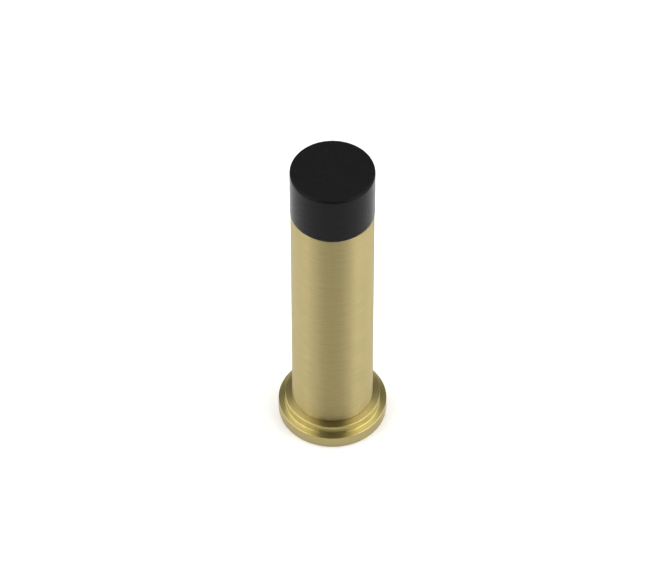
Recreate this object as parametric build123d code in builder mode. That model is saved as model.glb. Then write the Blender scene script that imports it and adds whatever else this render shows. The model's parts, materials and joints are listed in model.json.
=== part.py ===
from build123d import *
from math import radians, tan
import os

# Wall door stop: a turned brass body standing on a stepped brass rose, tipped with a rubber buffer.
# The origin is the centre of the rose's wall face, and +Z runs along the stop, away from the wall.
# Every size is in millimetres, and every angle in degrees.

# Body, turned from round brass bar
BODY_DIAMETER = 22.0
BODY_LENGTH = 73.3
BODY_EDGE_BREAK = 0.3

# Rose, a turned ring whose two steps stand out around the body
STEP_TREAD = 2.0
RIM_TREAD = 1.8
STEP_RISE = 2.55
RIM_RISE = 3.65
ROSE_EDGE_BREAK = 0.15
STEP_FOOT_FILLET = 0.25
ROSE_BACK_BREAK = 0.2

# Recess in the rose's back, so that only its outer land bears on the wall
WALL_LAND = 3.8
RECESS_DEPTH = 1.0

# Spigot on the body's foot, which centres the rose under the body's shoulder
SHOULDER_WIDTH = 3.0
SPIGOT_CLEARANCE = 0.05
SPIGOT_EDGE_BREAK = 0.4
BORE_EDGE_BREAK = 0.4

# Blind tapped hole for the wall screw, an M6 coarse thread drawn at its tapping drill size
THREAD_DIAMETER = 6.0
THREAD_PITCH = 1.0
THREAD_DEPTH = 20.0
MOUTH_OVERSIZE = 0.3
MOUTH_ANGLE = 90.0
DRILL_POINT_ANGLE = 118.0

# Socket in the body's outer end, and the buffer's barbed plug that is pushed into it
SOCKET_WALL = 5.0
PLUG_LENGTH = 11.0
PLUG_CLEARANCE = 0.05
PLUG_LEAD = 0.8
PLUG_END_GAP = 1.0
BARB_COUNT = 3
BARB_HEIGHT = 0.45
BARB_WIDTH = 1.4

# Buffer head, a hair wider than the body
BUFFER_OVERHANG = 0.15
BUFFER_LENGTH = 15.1
BUFFER_FACE_ROUND = 0.6
BUFFER_SEAT_BREAK = 0.2

# Radii and heights that follow from the driving dimensions
body_radius = BODY_DIAMETER / 2
step_radius = body_radius + STEP_TREAD
rose_radius = step_radius + RIM_TREAD
rose_height = RIM_RISE + STEP_RISE
body_end = rose_height + BODY_LENGTH
recess_radius = rose_radius - WALL_LAND
spigot_radius = body_radius - SHOULDER_WIDTH
bore_radius = spigot_radius + SPIGOT_CLEARANCE
tapping_radius = (THREAD_DIAMETER - THREAD_PITCH) / 2
mouth_radius = THREAD_DIAMETER / 2 + MOUTH_OVERSIZE
drill_point_height = tapping_radius / tan(radians(DRILL_POINT_ANGLE / 2))
socket_radius = body_radius - SOCKET_WALL
socket_depth = PLUG_LENGTH + PLUG_END_GAP
barb_radius = socket_radius - PLUG_CLEARANCE
plug_radius = barb_radius - BARB_HEIGHT
plug_end = body_end - PLUG_LENGTH
barb_pitch = (PLUG_LENGTH - PLUG_LEAD) / BARB_COUNT
buffer_radius = body_radius + BUFFER_OVERHANG
buffer_face = body_end + BUFFER_LENGTH

# Stepped rose: half section turned about the stop's axis, then its corners eased
with BuildPart() as rose:
    with BuildSketch(Plane.XZ):
        with BuildLine():
            Polyline(
                (bore_radius, RECESS_DEPTH),
                (recess_radius, RECESS_DEPTH),
                (recess_radius, 0),
                (rose_radius, 0),
                (rose_radius, RIM_RISE),
                (step_radius, RIM_RISE),
                (step_radius, rose_height),
                (bore_radius, rose_height),
                close=True,
            )
        make_face()
    revolve(axis=Axis.Z)
    back_rims = rose.edges().filter_by(GeomType.CIRCLE).group_by(Axis.Z)[0]
    chamfer(back_rims.sort_by(SortBy.RADIUS)[-1], ROSE_BACK_BREAK)
    top_rims = rose.edges().filter_by(GeomType.CIRCLE).group_by(Axis.Z)[-1]
    chamfer(top_rims.sort_by(SortBy.RADIUS)[0], BORE_EDGE_BREAK)
    foot_rim = rose.edges().filter_by(GeomType.CIRCLE).filter_by_position(Axis.Z, RIM_RISE, RIM_RISE)
    fillet(foot_rim.sort_by(SortBy.RADIUS)[0], STEP_FOOT_FILLET)
    step_rim = rose.edges().filter_by(GeomType.CIRCLE).group_by(Axis.Z)[-1]
    chamfer(step_rim.sort_by(SortBy.RADIUS)[-1], ROSE_EDGE_BREAK)
    outer_rim = rose.edges().filter_by(GeomType.CIRCLE).filter_by_position(Axis.Z, RIM_RISE, RIM_RISE)
    chamfer(outer_rim.sort_by(SortBy.RADIUS)[-1], ROSE_EDGE_BREAK)
rose.part.label = "stepped_rose"

# Body: turned bar with a spigot at its foot, drilled and tapped there and bored at its outer end
with BuildPart() as body:
    with BuildSketch(Plane.XZ):
        with BuildLine():
            Polyline(
                (0, RECESS_DEPTH),
                (spigot_radius, RECESS_DEPTH),
                (spigot_radius, rose_height),
                (body_radius, rose_height),
                (body_radius, body_end),
                (0, body_end),
                close=True,
            )
        make_face()
    revolve(axis=Axis.Z)
    chamfer(body.edges().filter_by(GeomType.CIRCLE).group_by(Axis.Z)[0], SPIGOT_EDGE_BREAK)
    with Locations((0, 0, body_end)):
        Hole(socket_radius, socket_depth)
    outer_rims = body.edges().filter_by(GeomType.CIRCLE).filter_by_position(Axis.Z, rose_height, body_end)
    shoulder_rim = outer_rims.group_by(Axis.Z)[0].sort_by(SortBy.RADIUS)[-1]
    end_rims = outer_rims.group_by(Axis.Z)[-1]
    chamfer([shoulder_rim, *end_rims], BODY_EDGE_BREAK)
    with Locations(-Plane.XY.offset(RECESS_DEPTH)):
        CounterSinkHole(tapping_radius, mouth_radius, THREAD_DEPTH, MOUTH_ANGLE)
    with Locations((0, 0, RECESS_DEPTH + THREAD_DEPTH)):
        Cone(
            tapping_radius,
            0,
            drill_point_height,
            align=(Align.CENTER, Align.CENTER, Align.MIN),
            mode=Mode.SUBTRACT,
        )
body.part.label = "stop_body"

# Buffer: moulded head that sits on the body's end, with its barbed plug below
with BuildPart() as buffer:
    with BuildSketch(Plane.XZ):
        with BuildLine():
            Polyline(
                (0, plug_end),
                (plug_radius, plug_end),
                (plug_radius, body_end),
                (buffer_radius, body_end),
                (buffer_radius, buffer_face),
                (0, buffer_face),
                close=True,
            )
        make_face()
    revolve(axis=Axis.Z)
    chamfer(buffer.edges().filter_by(GeomType.CIRCLE).group_by(Axis.Z)[0], PLUG_LEAD)
    fillet(buffer.edges().filter_by(GeomType.CIRCLE).group_by(Axis.Z)[-1], BUFFER_FACE_ROUND)
    seat_rims = buffer.edges().filter_by(GeomType.CIRCLE).filter_by_position(Axis.Z, body_end, body_end)
    chamfer(seat_rims.sort_by(SortBy.RADIUS)[-1], BUFFER_SEAT_BREAK)
    with BuildSketch(Plane.XZ):
        for barb in range(BARB_COUNT):
            barb_foot = body_end - (barb + 1) * barb_pitch
            Polygon(
                (0, barb_foot),
                (plug_radius, barb_foot),
                (barb_radius, barb_foot + BARB_WIDTH),
                (0, barb_foot + BARB_WIDTH),
                align=None,
            )
    revolve(axis=Axis.Z)
buffer.part.label = "rubber_buffer"

os.makedirs("parts", exist_ok=True)
export_step(rose.part, "parts/stepped_rose.step")
export_step(body.part, "parts/stop_body.step")
export_step(buffer.part, "parts/rubber_buffer.step")
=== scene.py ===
"""Dresses a wall door stop: a satin brass bar on a stepped brass rose, tipped with a black rubber buffer.

Every length is in metres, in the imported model's own frame: the origin is the centre of the rose's wall
face, and +Z runs along the stop, away from the wall.
"""

import json
import logging
import math
from abc import ABC, abstractmethod
from collections.abc import Mapping
from dataclasses import dataclass
from enum import Enum
from typing import Any

import bmesh
import bpy
from mathutils import Color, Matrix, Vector


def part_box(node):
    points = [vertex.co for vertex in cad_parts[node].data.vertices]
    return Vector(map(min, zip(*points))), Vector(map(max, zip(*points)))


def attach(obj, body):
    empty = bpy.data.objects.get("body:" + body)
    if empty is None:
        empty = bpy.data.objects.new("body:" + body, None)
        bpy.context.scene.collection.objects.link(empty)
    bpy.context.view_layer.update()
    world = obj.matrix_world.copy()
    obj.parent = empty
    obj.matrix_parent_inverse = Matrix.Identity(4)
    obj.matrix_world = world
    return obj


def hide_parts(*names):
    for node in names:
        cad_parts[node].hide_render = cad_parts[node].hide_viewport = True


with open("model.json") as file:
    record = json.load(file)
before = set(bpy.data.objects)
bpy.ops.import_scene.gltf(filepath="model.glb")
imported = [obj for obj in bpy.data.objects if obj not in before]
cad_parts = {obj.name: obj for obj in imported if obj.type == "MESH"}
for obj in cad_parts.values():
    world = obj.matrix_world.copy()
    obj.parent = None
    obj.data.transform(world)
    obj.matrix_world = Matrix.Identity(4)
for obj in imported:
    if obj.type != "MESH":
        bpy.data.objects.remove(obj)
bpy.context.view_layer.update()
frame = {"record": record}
log = logging.getLogger("door_stop")

MM = 0.001
BODY = "root"
# The mount that the thread is cut for, which names the thread's piece too.
THREAD_MOUNT = "wall_screw_thread"
# Width in pixels of the finished image, which the camera's focal length is given for.
IMAGE_WIDTH = 665
# Name of the mesh attribute that takes each corner's rounding to the lathe.
EASING = "easing"
# A mix node's socket names repeat, so its sockets are told apart by their index.
NUMBER_A, NUMBER_B, NUMBER_MIX = 2, 3, 0
COLOUR_A, COLOUR_B, COLOUR_MIX = 6, 7, 2


class CadNode(Enum):
    """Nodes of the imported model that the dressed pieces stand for."""

    ROSE = "stepped_rose"
    BAR = "stop_body"
    BUFFER = "rubber_buffer"


class Slot(Enum):
    """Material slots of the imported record."""

    ROSE = "rose_brass"
    BAR = "body_brass"
    BUFFER = "buffer_rubber"


class Closing(Enum):
    """How a turned section closes: at both ends on the stop's axis, or on itself as a ring."""

    AXIS = "axis"
    RING = "ring"


def linear(colour: str) -> tuple[float, float, float, float]:
    """Turns an sRGB hex colour to linear red, green, blue and alpha.

    Args:
        colour: Six hex digits, red first.

    Returns:
        The four linear channels, from 0 to 1.
    """
    srgb = Color([channel / 255 for channel in bytes.fromhex(colour)])
    return (*srgb.from_srgb_to_scene_linear(), 1.0)


def add_node(
    tree: bpy.types.NodeTree,
    kind: str,
    feeds: Mapping[str | int, Any] | None = None,
    **settings: Any,
) -> bpy.types.Node:
    """Adds a node with its settings, and links or fills its inputs.

    Args:
        tree: Node tree that the node joins.
        kind: Blender's name for the node's type.
        feeds: Input names or indices, each with a socket to link or a value to set.
        settings: Properties of the node itself.

    Returns:
        The new node.
    """
    node = tree.nodes.new(kind)
    for setting, value in settings.items():
        setattr(node, setting, value)
    for key, value in (feeds or {}).items():
        if isinstance(value, bpy.types.NodeSocket):
            tree.links.new(value, node.inputs[key])
        else:
            node.inputs[key].default_value = value
    return node


def new_tree(name: str, inputs: Mapping[str, str]) -> tuple[bpy.types.NodeTree, bpy.types.Node]:
    """Starts a Geometry Nodes tree with named inputs and one geometry output.

    Args:
        name: The tree's name.
        inputs: Each input's name and socket type, the modified geometry first.

    Returns:
        The tree and its group input node.
    """
    tree = bpy.data.node_groups.new(name, "GeometryNodeTree")
    for label, kind in inputs.items():
        tree.interface.new_socket(label, in_out="INPUT", socket_type=kind)
    tree.interface.new_socket("Piece", in_out="OUTPUT", socket_type="NodeSocketGeometry")
    return tree, add_node(tree, "NodeGroupInput")


def grow(
    name: str,
    start: bpy.types.Mesh,
    tree: bpy.types.NodeTree,
    values: Mapping[str, Any],
) -> bpy.types.Object:
    """Runs a Geometry Nodes tree on a mesh, and keeps the result as a plain closed mesh.

    Args:
        name: The new piece's name.
        start: Mesh that the tree starts from.
        tree: The Geometry Nodes tree.
        values: The tree's inputs by name.

    Returns:
        The piece, with no modifier left on it and its faces outwards.
    """
    piece = bpy.data.objects.new(name, start)
    bpy.context.scene.collection.objects.link(piece)
    modifier = piece.modifiers.new(tree.name, "NODES")
    modifier.node_group = tree
    sockets = {item.name: item.identifier for item in tree.interface.items_tree if item.in_out == "INPUT"}
    for label, value in values.items():
        modifier[sockets[label]] = value
    graph = bpy.context.evaluated_depsgraph_get()
    mesh = bpy.data.meshes.new_from_object(piece.evaluated_get(graph))
    piece.modifiers.clear()
    shell = bmesh.new()
    shell.from_mesh(mesh)
    if shell.calc_volume(signed=True) < 0:
        bmesh.ops.reverse_faces(shell, faces=shell.faces)
    shell.to_mesh(mesh)
    shell.free()
    mesh.name = name
    piece.data = mesh
    bpy.data.meshes.remove(start)
    return piece


@dataclass(frozen=True)
class Finish(ABC):
    """A surface as its maker left it, drawn as one material.

    Attributes:
        name: The material's name.
    """

    name: str

    @abstractmethod
    def shade(self, tree: bpy.types.NodeTree) -> bpy.types.Node:
        """Adds the finish's own nodes, and gives the shader that they end in."""

    def material(self) -> bpy.types.Material:
        """Builds the finish's material.

        Returns:
            The material, with the finish's shader on its surface.
        """
        material = bpy.data.materials.new(self.name)
        material.use_nodes = True
        tree = material.node_tree
        tree.nodes.clear()
        shader = self.shade(tree)
        add_node(tree, "ShaderNodeOutputMaterial", {"Surface": shader.outputs["BSDF"]})
        return material


@dataclass(frozen=True)
class SatinBrass(Finish):
    """Satin brass, turned and then brushed around its axis.

    The eye gets a pale yellow metal whose fine scratches run round the piece. They spread a light along the
    axis, so that a bar shows soft upright bands, and they leave faint rings of lighter and darker metal.

    Attributes:
        light: Colour of the deepest scratches.
        dark: Colour of the metal between scratches.
        rim: Colour of the rose's outer rim, as dull as the bar: the rest of the rose's brass is painted
            lighter as painted light, and the rim is left out of it.
        roughness: Roughness between scratches, and in the deepest ones.
        anisotropy: How much further a light spreads across the scratches than along them.
        brush_turn: Turns from the way around the axis to the way that a light spreads.
        scratch_spacing: Distance between scratches.
        scratch_length: Length of a scratch.
        scratch_depth: Depth of a scratch.
        band_spacing: Distance between the broader rings.
        band_share: The broader rings' share in the pattern.
        detail: Finer layers in each pattern.
        faintest: Level of the pattern that counts as no scratch.
        strongest: Level of the pattern that counts as the deepest scratch.
        rim_radius: Radius beyond which the surface is the rose's rim.
        rim_edge: Width over which the rim's colour sets in.
    """

    light: str = "ac9e6f"
    dark: str = "9f9267"
    rim: str = "a99c6d"
    roughness: tuple[float, float] = (0.41, 0.49)
    anisotropy: float = 0.9
    brush_turn: float = 0.25
    # Real scratches are about 0.05 mm apart, so they are drawn coarser, to show in the render.
    scratch_spacing: float = 0.55 * MM
    scratch_length: float = 5.0 * MM
    scratch_depth: float = 0.004 * MM
    band_spacing: float = 2.4 * MM
    band_share: float = 0.15
    detail: float = 3.0
    faintest: float = 0.32
    strongest: float = 0.68
    rim_radius: float = 14.78 * MM
    rim_edge: float = 0.06 * MM

    def shade(self, tree: bpy.types.NodeTree) -> bpy.types.Node:
        """Adds the brass's nodes.

        Args:
            tree: The material's node tree.

        Returns:
            The brass's shader.
        """
        place = add_node(tree, "ShaderNodeTexCoord").outputs["Object"]
        spread = add_node(tree, "ShaderNodeSeparateXYZ", {"Vector": place})
        across = add_node(tree, "ShaderNodeVectorMath", {0: place, 1: (1, 1, 0)}, operation="MULTIPLY")
        radius = add_node(tree, "ShaderNodeVectorMath", {0: across.outputs["Vector"]}, operation="LENGTH")
        travel = add_node(
            tree,
            "ShaderNodeMath",
            {0: radius.outputs["Value"], 1: spread.outputs["Z"]},
            operation="ADD",
        )
        scratches, bands = (
            add_node(
                tree,
                "ShaderNodeTexNoise",
                {
                    "Vector": self._stretched(tree, spread, travel, spacing),
                    "Scale": 1.0,
                    "Detail": self.detail,
                },
            )
            for spacing in (self.scratch_spacing, self.band_spacing)
        )
        streaks = add_node(
            tree,
            "ShaderNodeMix",
            {"Factor": self.band_share, NUMBER_A: scratches.outputs["Fac"], NUMBER_B: bands.outputs["Fac"]},
        )
        marks = add_node(
            tree,
            "ShaderNodeMapRange",
            {
                "Value": streaks.outputs[NUMBER_MIX],
                "From Min": self.faintest,
                "From Max": self.strongest,
            },
        )
        tone = add_node(
            tree,
            "ShaderNodeMix",
            {"Factor": marks.outputs["Result"], COLOUR_A: linear(self.dark), COLOUR_B: linear(self.light)},
            data_type="RGBA",
        )
        # On the rose, past the rim radius the colour turns to the bar's plain brass, while the rest of the
        # rose is painted lighter as painted light.
        rim = add_node(
            tree,
            "ShaderNodeMapRange",
            {
                "Value": radius.outputs["Value"],
                "From Min": self.rim_radius - self.rim_edge,
                "From Max": self.rim_radius,
            },
        )
        brushed = add_node(
            tree,
            "ShaderNodeMix",
            {
                "Factor": rim.outputs["Result"],
                COLOUR_A: tone.outputs[COLOUR_MIX],
                COLOUR_B: linear(self.rim),
            },
            data_type="RGBA",
        )
        satin = add_node(
            tree,
            "ShaderNodeMapRange",
            {"Value": marks.outputs["Result"], "To Min": self.roughness[0], "To Max": self.roughness[1]},
        )
        relief = add_node(
            tree,
            "ShaderNodeBump",
            {"Height": scratches.outputs["Fac"], "Distance": self.scratch_depth},
        )
        around = add_node(tree, "ShaderNodeTangent", direction_type="RADIAL", axis="Z")
        return add_node(
            tree,
            "ShaderNodeBsdfPrincipled",
            {
                "Base Color": brushed.outputs[COLOUR_MIX],
                "Metallic": 1.0,
                "Roughness": satin.outputs["Result"],
                "Anisotropic": self.anisotropy,
                "Anisotropic Rotation": self.brush_turn,
                "Tangent": around.outputs["Tangent"],
                "Normal": relief.outputs["Normal"],
            },
        )

    def _stretched(
        self,
        tree: bpy.types.NodeTree,
        spread: bpy.types.Node,
        travel: bpy.types.Node,
        spacing: float,
    ) -> bpy.types.NodeSocket:
        """Lays a pattern out in rings: close along the section, long around the axis.

        Args:
            tree: The material's node tree.
            spread: Node that splits the place into its three coordinates.
            travel: Node that gives radius plus height.
            spacing: Distance between rings.

        Returns:
            The pattern's coordinates.
        """
        sizes = (self.scratch_length, self.scratch_length, spacing)
        ways = (spread.outputs["X"], spread.outputs["Y"], travel.outputs["Value"])
        scaled = [
            add_node(tree, "ShaderNodeMath", {0: way, 1: size}, operation="DIVIDE").outputs["Value"]
            for way, size in zip(ways, sizes)
        ]
        return add_node(tree, "ShaderNodeCombineXYZ", dict(enumerate(scaled))).outputs["Vector"]


@dataclass(frozen=True)
class MouldedRubber(Finish):
    """Black rubber, moulded with a fine matt grain.

    The eye gets a near-black, slightly uneven surface that turns grey only at a flat angle.

    Attributes:
        light: Colour of the lightest patches.
        dark: Colour of the darkest patches.
        roughness: Roughness of the darkest patches, and of the lightest ones.
        specular: Strength of its plain reflection.
        sheen: Strength of the grey at a flat angle.
        sheen_roughness: How far that grey spreads.
        grain: Size of the mould's grain.
        grain_depth: Depth of the grain.
        grain_detail: Finer layers in the grain.
        mottle: Size of the uneven patches.
        mottle_detail: Finer layers in the patches.
        mottle_share: The patches' share in the colour, beside the grain.
    """

    light: str = "151516"
    dark: str = "101010"
    roughness: tuple[float, float] = (0.23, 0.31)
    specular: float = 0.06
    sheen: float = 0.2
    sheen_roughness: float = 0.3
    # The mould's grain is about 0.05 mm, so it is drawn coarser, to show in the render.
    grain: float = 0.3 * MM
    grain_depth: float = 0.006 * MM
    grain_detail: float = 2.0
    mottle: float = 3.0 * MM
    mottle_detail: float = 4.0
    mottle_share: float = 0.5

    def shade(self, tree: bpy.types.NodeTree) -> bpy.types.Node:
        """Adds the rubber's nodes.

        Args:
            tree: The material's node tree.

        Returns:
            The rubber's shader.
        """
        place = add_node(tree, "ShaderNodeTexCoord").outputs["Object"]
        grain, mottle = (
            add_node(tree, "ShaderNodeTexNoise", {"Vector": place, "Scale": 1 / size, "Detail": detail})
            for size, detail in ((self.grain, self.grain_detail), (self.mottle, self.mottle_detail))
        )
        blend = add_node(
            tree,
            "ShaderNodeMix",
            {"Factor": self.mottle_share, NUMBER_A: grain.outputs["Fac"], NUMBER_B: mottle.outputs["Fac"]},
        )
        tone = add_node(
            tree,
            "ShaderNodeMix",
            {
                "Factor": blend.outputs[NUMBER_MIX],
                COLOUR_A: linear(self.dark),
                COLOUR_B: linear(self.light),
            },
            data_type="RGBA",
        )
        matt = add_node(
            tree,
            "ShaderNodeMapRange",
            {"Value": mottle.outputs["Fac"], "To Min": self.roughness[0], "To Max": self.roughness[1]},
        )
        relief = add_node(
            tree,
            "ShaderNodeBump",
            {"Height": grain.outputs["Fac"], "Distance": self.grain_depth},
        )
        return add_node(
            tree,
            "ShaderNodeBsdfPrincipled",
            {
                "Base Color": tone.outputs[COLOUR_MIX],
                "Roughness": matt.outputs["Result"],
                "Specular IOR Level": self.specular,
                "Sheen Weight": self.sheen,
                "Sheen Roughness": self.sheen_roughness,
                "Normal": relief.outputs["Normal"],
            },
        )


@dataclass(frozen=True)
class MattCard(Finish):
    """White card with a matt face, which the eye reads as plain pale ground with a hint of fibre.

    Attributes:
        light: Colour of the lightest fibres.
        dark: Colour of the darkest fibres.
        roughness: Roughness of its face.
        specular: Strength of its plain reflection, which a matt card lacks.
        fibre: Size of the fibres.
        fibre_detail: Finer layers in the fibres.
    """

    light: str = "fcfcfc"
    dark: str = "f9f9f8"
    roughness: float = 0.9
    specular: float = 0.0
    fibre: float = 1.5 * MM
    fibre_detail: float = 3.0

    def shade(self, tree: bpy.types.NodeTree) -> bpy.types.Node:
        """Adds the card's nodes.

        Args:
            tree: The material's node tree.

        Returns:
            The card's shader.
        """
        place = add_node(tree, "ShaderNodeTexCoord").outputs["Object"]
        fibre = add_node(
            tree,
            "ShaderNodeTexNoise",
            {"Vector": place, "Scale": 1 / self.fibre, "Detail": self.fibre_detail},
        )
        tone = add_node(
            tree,
            "ShaderNodeMix",
            {"Factor": fibre.outputs["Fac"], COLOUR_A: linear(self.dark), COLOUR_B: linear(self.light)},
            data_type="RGBA",
        )
        return add_node(
            tree,
            "ShaderNodeBsdfPrincipled",
            {
                "Base Color": tone.outputs[COLOUR_MIX],
                "Roughness": self.roughness,
                "Specular IOR Level": self.specular,
            },
        )


@dataclass(frozen=True)
class Corner:
    """One corner of a turned section.

    Attributes:
        radius: Distance from the stop's axis.
        height: Distance from the wall.
        easing: Radius that the corner is rounded to.
    """

    radius: float
    height: float
    easing: float = 0.0


@dataclass(frozen=True)
class Section:
    """The half section that a turned piece is made from.

    Attributes:
        corners: The corners in order.
        closing: How the outline closes.
        reach: Length of face set aside for a rounding, in easings.
        hold: Width of the narrow strip that keeps a flat face flat up to a rounded corner.
    """

    corners: list[Corner]
    closing: Closing
    reach: float = 1.5
    hold: float = 0.03 * MM

    def outline(self) -> list[Corner]:
        """Adds a plain point on each side of every rounded corner.

        Returns:
            The corners and the added points, in order.
        """
        ends = self.corners[1:]
        if self.closing is Closing.RING:
            ends = [*ends, self.corners[0]]
        points = []
        for start, end in zip(self.corners, ends):
            points.append(start)
            foot = Vector((start.radius, start.height))
            run = Vector((end.radius, end.height)) - foot
            leaving = self.reach * start.easing + self.hold
            arriving = run.length - self.reach * end.easing - self.hold
            if leaving < arriving:
                way = run.normalized()
                spots = ((leaving, start.easing), (arriving, end.easing))
                points += [Corner(*(foot + way * spot)) for spot, easing in spots if easing > 0]
        if self.closing is Closing.AXIS:
            points.append(self.corners[-1])
        return points

    def mesh(self, name: str) -> bpy.types.Mesh:
        """Draws the outline as a chain of edges that carries each corner's rounding.

        Args:
            name: The mesh's name.

        Returns:
            The chain, upright in the XZ plane.
        """
        points = self.outline()
        edges = [(i, i + 1) for i in range(len(points) - 1)]
        if self.closing is Closing.RING:
            edges.append((len(points) - 1, 0))
        chain = bpy.data.meshes.new(name)
        chain.from_pydata([(point.radius, 0.0, point.height) for point in points], edges, [])
        roundings = chain.attributes.new(EASING, "FLOAT", "POINT")
        roundings.data.foreach_set("value", [point.easing for point in points])
        return chain


@dataclass(frozen=True)
class Lathe:
    """Turns half sections about the stop's axis, with one Geometry Nodes tree.

    Attributes:
        segments: Faces around the axis.
        arc_steps: Points on each rounded corner.
        hub: Radius of the circle that the section is carried around.
        weld: Distance under which points become one.
        crease: Angle above which an edge stays sharp.
    """

    segments: int = 256
    arc_steps: int = 6
    hub: float = 20.0 * MM
    weld: float = 0.001 * MM
    crease: float = math.radians(35)

    def tree(self) -> bpy.types.NodeTree:
        """Builds the tree, once.

        Returns:
            The tree named Turned section.
        """
        name = "Turned section"
        if name in bpy.data.node_groups:
            return bpy.data.node_groups[name]
        tree, sizes = new_tree(
            name,
            {
                "Section": "NodeSocketGeometry",
                "Segments": "NodeSocketInt",
                "Arc Steps": "NodeSocketInt",
                "Hub": "NodeSocketFloat",
                "Weld": "NodeSocketFloat",
                "Crease": "NodeSocketFloat",
                "Finish": "NodeSocketMaterial",
            },
        )
        easing = add_node(tree, "GeometryNodeInputNamedAttribute", {"Name": EASING}, data_type="FLOAT")
        outline = add_node(tree, "GeometryNodeMeshToCurve", {"Mesh": sizes.outputs["Section"]})
        rounded = add_node(
            tree,
            "GeometryNodeFilletCurve",
            {
                "Curve": outline.outputs["Curve"],
                "Count": sizes.outputs["Arc Steps"],
                "Radius": easing.outputs["Attribute"],
                "Limit Radius": True,
            },
            mode="POLY",
        )
        inwards = add_node(
            tree, "ShaderNodeMath", {0: 0.0, 1: sizes.outputs["Hub"]}, operation="SUBTRACT"
        )
        shift = add_node(tree, "ShaderNodeCombineXYZ", {"X": inwards.outputs["Value"]})
        profile = add_node(
            tree,
            "GeometryNodeTransform",
            {
                "Geometry": rounded.outputs["Curve"],
                "Translation": shift.outputs["Vector"],
                "Rotation": (math.pi / 2, 0, 0),
            },
        )
        circle = add_node(
            tree,
            "GeometryNodeCurvePrimitiveCircle",
            {"Resolution": sizes.outputs["Segments"], "Radius": sizes.outputs["Hub"]},
        )
        path = add_node(tree, "GeometryNodeSetCurveNormal", {"Curve": circle.outputs["Curve"]}, mode="Z_UP")
        swept = add_node(
            tree,
            "GeometryNodeCurveToMesh",
            {"Curve": path.outputs["Curve"], "Profile Curve": profile.outputs["Geometry"]},
        )
        welded = add_node(
            tree,
            "GeometryNodeMergeByDistance",
            {"Geometry": swept.outputs["Mesh"], "Distance": sizes.outputs["Weld"]},
        )
        smooth = add_node(tree, "GeometryNodeSetShadeSmooth", {"Geometry": welded.outputs["Geometry"]})
        angle = add_node(tree, "GeometryNodeInputMeshEdgeAngle")
        sharp = add_node(
            tree,
            "FunctionNodeCompare",
            {0: angle.outputs["Unsigned Angle"], 1: sizes.outputs["Crease"]},
            operation="GREATER_THAN",
        )
        creased = add_node(
            tree,
            "GeometryNodeSetShadeSmooth",
            {
                "Geometry": smooth.outputs["Geometry"],
                "Selection": sharp.outputs["Result"],
                "Shade Smooth": False,
            },
            domain="EDGE",
        )
        real = add_node(tree, "GeometryNodeRealizeInstances", {"Geometry": creased.outputs["Geometry"]})
        dressed = add_node(
            tree,
            "GeometryNodeSetMaterial",
            {"Geometry": real.outputs["Geometry"], "Material": sizes.outputs["Finish"]},
        )
        add_node(tree, "NodeGroupOutput", {"Piece": dressed.outputs["Geometry"]})
        return tree

    def turn(self, name: str, section: Section, finish: bpy.types.Material) -> bpy.types.Object:
        """Turns one section.

        Args:
            name: The piece's name.
            section: Its half section.
            finish: Its material.

        Returns:
            The turned piece.
        """
        sizes = {
            "Segments": self.segments,
            "Arc Steps": self.arc_steps,
            "Hub": self.hub,
            "Weld": self.weld,
            "Crease": self.crease,
            "Finish": finish,
        }
        return grow(name, section.mesh(name + "_section"), self.tree(), sizes)


@dataclass(frozen=True)
class Extent:
    """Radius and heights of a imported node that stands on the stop's axis.

    Attributes:
        radius: Its outer radius.
        foot: Its lowest height.
        top: Its highest height.
    """

    radius: float
    foot: float
    top: float

    @classmethod
    def of(cls, node: CadNode) -> "Extent":
        """Reads a node's radius and heights from its box."""
        low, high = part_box(node.value)
        return cls(high.x, low.z, high.z)


@dataclass
class TurnedPiece(ABC):
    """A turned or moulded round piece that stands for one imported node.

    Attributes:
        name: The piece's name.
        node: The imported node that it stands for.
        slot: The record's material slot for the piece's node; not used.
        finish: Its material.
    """

    name: str
    node: CadNode
    slot: Slot
    finish: Finish

    @abstractmethod
    def section(self) -> Section:
        """Gives the half section that the piece is turned from."""

    def build(self, lathe: Lathe) -> bpy.types.Object:
        """Turns the piece, dresses it and puts it in its node's place.

        Args:
            lathe: The lathe that turns it.

        Returns:
            The finished piece.
        """
        piece = lathe.turn(self.name, self.section(), self.finish.material())
        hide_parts(self.node.value)
        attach(piece, BODY)
        log.info("%s: %d faces for %s", piece.name, len(piece.data.polygons), self.node.value)
        return piece


@dataclass
class Rose(TurnedPiece):
    """The stepped ring that the bar stands in, with a shallow recess in its back.

    Attributes:
        rim_tread: Width of the lower step.
        rim_rise: Height of the lower step.
        wall_land: Width of the back's outer land, which bears on the wall.
        recess_depth: Depth of the recess inside that land.
        bore_radius: Radius of the bore round the bar's spigot.
        bore_break: Width of the chamfer at the bore's mouth.
        edge_easing: Rounding of the steps' edges.
        foot_easing: Rounding at the upper step's foot.
        back_easing: Rounding of the back's edges.
    """

    rim_tread: float = 1.8 * MM
    rim_rise: float = 3.65 * MM
    wall_land: float = 3.8 * MM
    recess_depth: float = 1.0 * MM
    bore_radius: float = 8.05 * MM
    bore_break: float = 0.4 * MM
    edge_easing: float = 0.15 * MM
    foot_easing: float = 0.25 * MM
    back_easing: float = 0.2 * MM

    def section(self) -> Section:
        """Draws the ring's section from the bore, out over its back and up its two steps.

        Returns:
            A ring section.
        """
        ring = Extent.of(self.node)
        recess = ring.radius - self.wall_land
        step = ring.radius - self.rim_tread
        roof = ring.foot + self.recess_depth
        rim = ring.foot + self.rim_rise
        return Section(
            [
                Corner(self.bore_radius, roof),
                Corner(recess, roof, self.back_easing),
                Corner(recess, ring.foot, self.back_easing),
                Corner(ring.radius, ring.foot, self.back_easing),
                Corner(ring.radius, rim, self.edge_easing),
                Corner(step, rim, self.foot_easing),
                Corner(step, ring.top, self.edge_easing),
                Corner(self.bore_radius + self.bore_break, ring.top),
                Corner(self.bore_radius, ring.top - self.bore_break),
            ],
            Closing.RING,
        )


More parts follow.
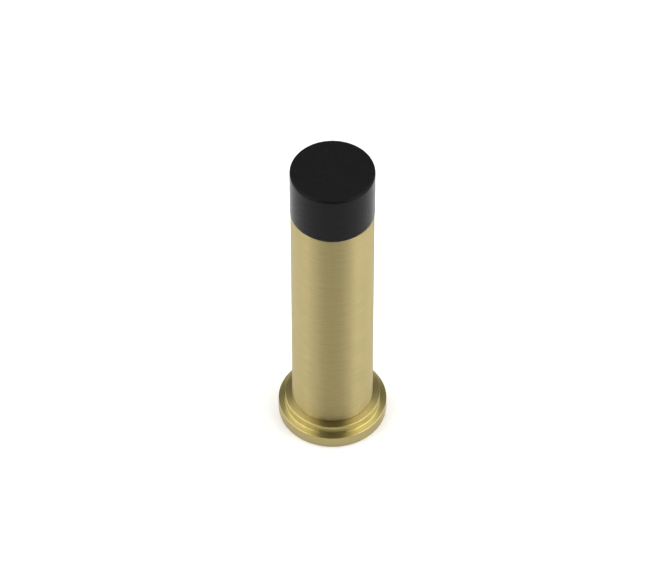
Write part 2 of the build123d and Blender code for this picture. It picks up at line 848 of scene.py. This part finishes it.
@dataclass
class ScrewThread:
    """The screw thread cut in the bar's foot, a coarse M6 right-hand one.

    Attributes:
        name: The piece's name.
        slot: The record's material slot for the thread; not used.
        finish: Its material.
        minor_radius: Radius of the thread's crests, which is the tapping drill's.
        pitch: Distance between turns.
        crest: Width of a crest.
        root: Width of a ridge at its foot.
        sunk: How far a ridge's foot stands in the bar.
        depth: Depth of the drilled hole, up to its point.
        tapped: Depth of the cut thread.
        mouth: How much wider the hole's mouth is.
        point_angle: The drill point's full angle.
        run_out: Turns over which the ridge fades at its ends.
        run_out_scale: Share of its size that the ridge keeps at its very ends.
        steps: Faces in one turn.
    """

    name: str
    slot: Slot
    finish: Finish
    minor_radius: float
    pitch: float = 1.0 * MM
    crest: float = 0.25 * MM
    root: float = 0.875 * MM
    sunk: float = 0.05 * MM
    depth: float = 20.0 * MM
    tapped: float = 17.0 * MM
    mouth: float = 0.3 * MM
    point_angle: float = math.radians(118)
    run_out: float = 0.75
    run_out_scale: float = 0.05
    steps: int = 72

    @property
    def major_radius(self) -> float:
        """Radius of the thread's roots."""
        return self.minor_radius + self.pitch / 2

    def hole(self, foot: float) -> list[Corner]:
        """Draws the hole that the thread is cut in, from the drill's point down to its mouth.

        Args:
            foot: Height of the face that it is drilled in.

        Returns:
            The hole's corners.
        """
        tip = self.minor_radius / math.tan(self.point_angle / 2)
        end = foot + self.tapped
        return [
            Corner(0.0, foot + self.depth + tip),
            Corner(self.minor_radius, foot + self.depth),
            Corner(self.minor_radius, end + self.pitch / 2),
            Corner(self.major_radius, end),
            Corner(self.major_radius, foot + self.mouth),
            Corner(self.major_radius + self.mouth, foot),
        ]

    def tree(self) -> bpy.types.NodeTree:
        """Builds the tree that carries a ridge along a helix.

        Returns:
            The tree named Cut thread.
        """
        tree, sizes = new_tree(
            "Cut thread",
            {
                "Ridge": "NodeSocketGeometry",
                "Radius": "NodeSocketFloat",
                "Start": "NodeSocketFloat",
                "Height": "NodeSocketFloat",
                "Turns": "NodeSocketFloat",
                "Run Out": "NodeSocketFloat",
                "Run Out Scale": "NodeSocketFloat",
                "Steps": "NodeSocketInt",
                "Finish": "NodeSocketMaterial",
            },
        )
        # Reversed, because the node's own helix would make a left-hand thread.
        helix = add_node(
            tree,
            "GeometryNodeCurveSpiral",
            {
                "Resolution": sizes.outputs["Steps"],
                "Rotations": sizes.outputs["Turns"],
                "Start Radius": sizes.outputs["Radius"],
                "End Radius": sizes.outputs["Radius"],
                "Height": sizes.outputs["Height"],
                "Reverse": True,
            },
        )
        lift = add_node(tree, "ShaderNodeCombineXYZ", {"Z": sizes.outputs["Start"]})
        raised = add_node(
            tree,
            "GeometryNodeTransform",
            {"Geometry": helix.outputs["Curve"], "Translation": lift.outputs["Vector"]},
        )
        path = add_node(
            tree, "GeometryNodeSetCurveNormal", {"Curve": raised.outputs["Geometry"]}, mode="Z_UP"
        )
        way = add_node(tree, "GeometryNodeSplineParameter")
        rest = add_node(tree, "ShaderNodeMath", {0: 1.0, 1: way.outputs["Factor"]}, operation="SUBTRACT")
        nearest = add_node(
            tree,
            "ShaderNodeMath",
            {0: way.outputs["Factor"], 1: rest.outputs["Value"]},
            operation="MINIMUM",
        )
        share = add_node(
            tree,
            "ShaderNodeMath",
            {0: sizes.outputs["Run Out"], 1: sizes.outputs["Turns"]},
            operation="DIVIDE",
        )
        fade = add_node(
            tree,
            "ShaderNodeMapRange",
            {
                "Value": nearest.outputs["Value"],
                "From Max": share.outputs["Value"],
                "To Min": sizes.outputs["Run Out Scale"],
            },
        )
        profile = add_node(tree, "GeometryNodeMeshToCurve", {"Mesh": sizes.outputs["Ridge"]})
        swept = add_node(
            tree,
            "GeometryNodeCurveToMesh",
            {
                "Curve": path.outputs["Curve"],
                "Profile Curve": profile.outputs["Curve"],
                "Scale": fade.outputs["Result"],
                "Fill Caps": True,
            },
        )
        real = add_node(tree, "GeometryNodeRealizeInstances", {"Geometry": swept.outputs["Mesh"]})
        dressed = add_node(
            tree,
            "GeometryNodeSetMaterial",
            {"Geometry": real.outputs["Geometry"], "Material": sizes.outputs["Finish"]},
        )
        add_node(tree, "NodeGroupOutput", {"Piece": dressed.outputs["Geometry"]})
        return tree

    def build(self, foot: float) -> bpy.types.Object:
        """Cuts the thread's ridge up the hole.

        Args:
            foot: Height of the face that the hole is drilled in.

        Returns:
            The finished ridge.
        """
        inward = self.minor_radius - self.major_radius
        ridge = bpy.data.meshes.new(self.name + "_ridge")
        ridge.from_pydata(
            [
                (inward, -self.crest / 2, 0),
                (inward, self.crest / 2, 0),
                (self.sunk, self.root / 2, 0),
                (self.sunk, -self.root / 2, 0),
            ],
            [(0, 1), (1, 2), (2, 3), (3, 0)],
            [],
        )
        start = foot + self.mouth + self.pitch / 2
        height = self.tapped - self.mouth - self.pitch
        sizes = {
            "Radius": self.major_radius,
            "Start": start,
            "Height": height,
            "Turns": height / self.pitch,
            "Run Out": self.run_out,
            "Run Out Scale": self.run_out_scale,
            "Steps": self.steps,
            "Finish": self.finish.material(),
        }
        piece = grow(self.name, ridge, self.tree(), sizes)
        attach(piece, BODY)
        log.info("%s: %d faces", piece.name, len(piece.data.polygons))
        return piece


@dataclass
class Bar(TurnedPiece):
    """The brass bar, with a spigot and a tapped hole at its foot and a socket in its outer end.

    Attributes:
        thread: The thread cut in its foot.
        shoulder_width: Width of the shoulder that sits on the rose.
        shoulder_height: Length of the spigot below the shoulder.
        spigot_break: Width of the chamfer at the spigot's end.
        edge_easing: Rounding of the bar's outer edges.
        socket_wall: Wall round the socket.
        socket_depth: Depth of the socket.
        socket_break: Width of the chamfer at the socket's mouth.
    """

    thread: ScrewThread
    shoulder_width: float = 3.0 * MM
    shoulder_height: float = 5.2 * MM
    spigot_break: float = 0.4 * MM
    edge_easing: float = 0.3 * MM
    socket_wall: float = 5.0 * MM
    socket_depth: float = 12.0 * MM
    socket_break: float = 0.3 * MM

    def section(self) -> Section:
        """Draws the bar's section from the drilled hole, out round its foot and up to the socket.

        Returns:
            A section that closes on the axis.
        """
        bar = Extent.of(self.node)
        spigot = bar.radius - self.shoulder_width
        shoulder = bar.foot + self.shoulder_height
        socket = bar.radius - self.socket_wall
        floor = bar.top - self.socket_depth
        return Section(
            [
                *self.thread.hole(bar.foot),
                Corner(spigot - self.spigot_break, bar.foot),
                Corner(spigot, bar.foot + self.spigot_break),
                Corner(spigot, shoulder),
                Corner(bar.radius, shoulder, self.edge_easing),
                Corner(bar.radius, bar.top, self.edge_easing),
                Corner(socket + self.socket_break, bar.top),
                Corner(socket, bar.top - self.socket_break),
                Corner(socket, floor),
                Corner(0.0, floor),
            ],
            Closing.AXIS,
        )


@dataclass
class Buffer(TurnedPiece):
    """The moulded rubber head, with the barbed plug that holds it in the bar's socket.

    Attributes:
        plug_length: Length of the plug.
        plug_radius: Radius of the plug between its barbs.
        plug_lead: Width of the chamfer at the plug's end.
        barb_count: Barbs along the plug.
        barb_height: How far a barb stands out.
        barb_width: Length of a barb's slope.
        barb_easing: Rounding of a barb's edge.
        face_easing: Rounding round the head's face.
        seat_easing: Rounding of the edge that sits on the bar.
    """

    plug_length: float = 11.0 * MM
    plug_radius: float = 5.5 * MM
    plug_lead: float = 0.8 * MM
    barb_count: int = 3
    barb_height: float = 0.45 * MM
    barb_width: float = 1.4 * MM
    barb_easing: float = 0.1 * MM
    face_easing: float = 0.6 * MM
    seat_easing: float = 0.2 * MM

    def section(self) -> Section:
        """Draws the head's section from the plug's end, up past its barbs and over the face.

        Returns:
            A section that closes on the axis.
        """
        rubber = Extent.of(self.node)
        seat = rubber.foot + self.plug_length
        pitch = (self.plug_length - self.plug_lead) / self.barb_count
        corners = [
            Corner(0.0, rubber.foot),
            Corner(self.plug_radius - self.plug_lead, rubber.foot),
        ]
        for barb in range(self.barb_count):
            foot = rubber.foot + self.plug_lead + barb * pitch
            shelf = foot + self.barb_width
            corners += [
                Corner(self.plug_radius, foot),
                Corner(self.plug_radius + self.barb_height, shelf, self.barb_easing),
                Corner(self.plug_radius, shelf),
            ]
        corners += [
            Corner(self.plug_radius, seat),
            Corner(rubber.radius, seat, self.seat_easing),
            Corner(rubber.radius, rubber.top, self.face_easing),
            Corner(0.0, rubber.top),
        ]
        return Section(corners, Closing.AXIS)


def towards(azimuth: float, elevation: float) -> Vector:
    """Gives a direction around the stop.

    Args:
        azimuth: Degrees from the camera's side, growing to the right.
        elevation: Degrees above the floor.

    Returns:
        The unit direction.
    """
    turn, rise = math.radians(azimuth), math.radians(elevation)
    return Vector((math.sin(turn) * math.cos(rise), -math.cos(turn) * math.cos(rise), math.sin(rise)))


@dataclass(frozen=True)
class Softbox:
    """A soft rectangular studio light, aimed at the stop.

    Attributes:
        name: The light's name.
        azimuth: Degrees from the camera's side, growing to the right.
        elevation: Degrees above the floor.
        width: Its width.
        height: Its height.
        watts: Its power.
        distance: Distance from the stop.
    """

    name: str
    azimuth: float
    elevation: float
    width: float
    height: float
    watts: float
    distance: float = 0.9

    def place(self, aim: Vector) -> bpy.types.Object:
        """Hangs the light and turns it to the stop.

        Args:
            aim: The point that it faces.

        Returns:
            The light.
        """
        lamp = bpy.data.lights.new(self.name, "AREA")
        lamp.shape = "RECTANGLE"
        lamp.size = self.width
        lamp.size_y = self.height
        lamp.energy = self.watts
        box = bpy.data.objects.new(self.name, lamp)
        way = towards(self.azimuth, self.elevation)
        box.location = aim + way * self.distance
        box.rotation_euler = way.to_track_quat("Z", "Y").to_euler()
        bpy.context.scene.collection.objects.link(box)
        return box


@dataclass
class Studio:
    """The pale floor, the soft lights and the camera.

    Attributes:
        floor: The floor's finish.
        floor_radius: Radius of the round floor.
        floor_points: Corners of the floor's outline.
        surround: Brightness of the room beyond the lights, as the stop mirrors it.
        backdrop: Brightness of the white backdrop that the camera sees past the floor's edge.
        aim_height: Height of the point that the camera looks at.
        camera_elevation: Degrees that the camera stands above the floor.
        camera_distance: Distance from the camera to that point.
        focal_pixels: Focal length in pixels of the finished image.
        softboxes: The lights.
    """

    floor: MattCard
    floor_radius: float = 0.5
    floor_points: int = 96
    surround: float = 0.02
    backdrop: float = 1.0
    aim_height: float = 46.65 * MM
    camera_elevation: float = 48.79
    camera_distance: float = 1110.85 * MM
    focal_pixels: float = 4166.2
    # Name, azimuth, elevation, width, height and watts.
    softboxes: tuple[Softbox, ...] = (
        Softbox("key_left", -53, 33, 0.54, 0.5, 3.1),
        Softbox("key_right", 53, 33, 0.56, 0.5, 3.2),
        Softbox("strip_left", -91, 12, 1.3, 0.36, 4.2),
        Softbox("strip_right", 85, 12, 1.3, 0.36, 4.6),
        Softbox("overhead_left", -112, 55, 0.6, 0.6, 3.6),
        Softbox("overhead_right", 112, 55, 0.6, 0.6, 3.8),
        Softbox("back_strip", 180, 12, 0.46, 0.36, 3.4),
        Softbox("back_overhead", 180, 64, 0.4, 0.4, 0.6),
        Softbox("front_overhead", 0, 60, 0.6, 0.5, 0.2),
        Softbox("front_low", 0, 22, 0.9, 0.4, 0.2),
    )

    def lay_floor(self) -> None:
        """Lays the floor that the rose stands on."""
        turns = [math.tau * point / self.floor_points for point in range(self.floor_points)]
        corners = [
            (self.floor_radius * math.cos(turn), self.floor_radius * math.sin(turn), 0)
            for turn in turns
        ]
        sheet = bpy.data.meshes.new("pale_floor")
        sheet.from_pydata(corners, [], [tuple(range(self.floor_points))])
        sheet.materials.append(self.floor.material())
        floor = bpy.data.objects.new("pale_floor", sheet)
        bpy.context.scene.collection.objects.link(floor)

    def light(self) -> None:
        """Hangs the softboxes and sets the room's even glow."""
        for softbox in self.softboxes:
            softbox.place(Vector((0, 0, self.aim_height)))
        world = bpy.data.worlds.new("studio")
        world.use_nodes = True
        tree = world.node_tree
        tree.nodes.clear()
        camera_ray = add_node(tree, "ShaderNodeLightPath").outputs["Is Camera Ray"]
        glow = add_node(
            tree,
            "ShaderNodeMix",
            {"Factor": camera_ray, NUMBER_A: self.surround, NUMBER_B: self.backdrop},
        )
        room = add_node(
            tree,
            "ShaderNodeBackground",
            {"Color": (1, 1, 1, 1), "Strength": glow.outputs[NUMBER_MIX]},
        )
        add_node(tree, "ShaderNodeOutputWorld", {"Surface": room.outputs["Background"]})
        bpy.context.scene.world = world
        bpy.context.scene.view_settings.view_transform = "Standard"

    def set_camera(self) -> None:
        """Puts the camera at the photograph's angle, distance and lens."""
        lens = bpy.data.cameras.new("camera")
        lens.lens = self.focal_pixels * lens.sensor_width / IMAGE_WIDTH
        camera = bpy.data.objects.new("camera", lens)
        way = towards(0, self.camera_elevation)
        camera.location = Vector((0, 0, self.aim_height)) + way * self.camera_distance
        camera.rotation_euler = way.to_track_quat("Z", "Y").to_euler()
        bpy.context.scene.collection.objects.link(camera)
        bpy.context.scene.camera = camera

    def build(self) -> None:
        """Builds the whole studio."""
        self.lay_floor()
        self.light()
        self.set_camera()
        log.info("studio: %d softboxes", len(self.softboxes))


def main() -> None:
    """Builds the stop's pieces in order, then the studio."""
    logging.basicConfig(level=logging.INFO, format="%(name)s: %(message)s")
    mounts = {mount["name"]: mount for mount in frame["record"]["mounts"]}
    tapping_radius = mounts[THREAD_MOUNT]["dims"]["r_mm"] * MM
    bar_brass = SatinBrass("satin_brass_bar")
    # The rose is turned smoother than the bar, which leaves its brass shinier. Its brass is also painted
    # lighter and a little yellower than the bar's: painted light, for the light that its steps and edges
    # catch.
    rose_brass = SatinBrass(
        "satin_brass_rose",
        light="bdb176",
        dark="b2a46e",
        roughness=(0.32, 0.38),
        anisotropy=0.8,
        scratch_length=14.0 * MM,
        scratch_depth=0.0015 * MM,
    )
    rubber = MouldedRubber("moulded_black_rubber")
    thread = ScrewThread(THREAD_MOUNT, Slot.BAR, SatinBrass("cut_brass_thread"), tapping_radius)
    lathe = Lathe()
    Rose("stepped_brass_rose", CadNode.ROSE, Slot.ROSE, rose_brass).build(lathe)
    Bar("satin_brass_bar", CadNode.BAR, Slot.BAR, bar_brass, thread).build(lathe)
    thread.build(Extent.of(CadNode.BAR).foot)
    Buffer("black_rubber_buffer", CadNode.BUFFER, Slot.BUFFER, rubber).build(lathe)
    Studio(MattCard("matt_white_card")).build()


if __name__ == "__main__":
    main()
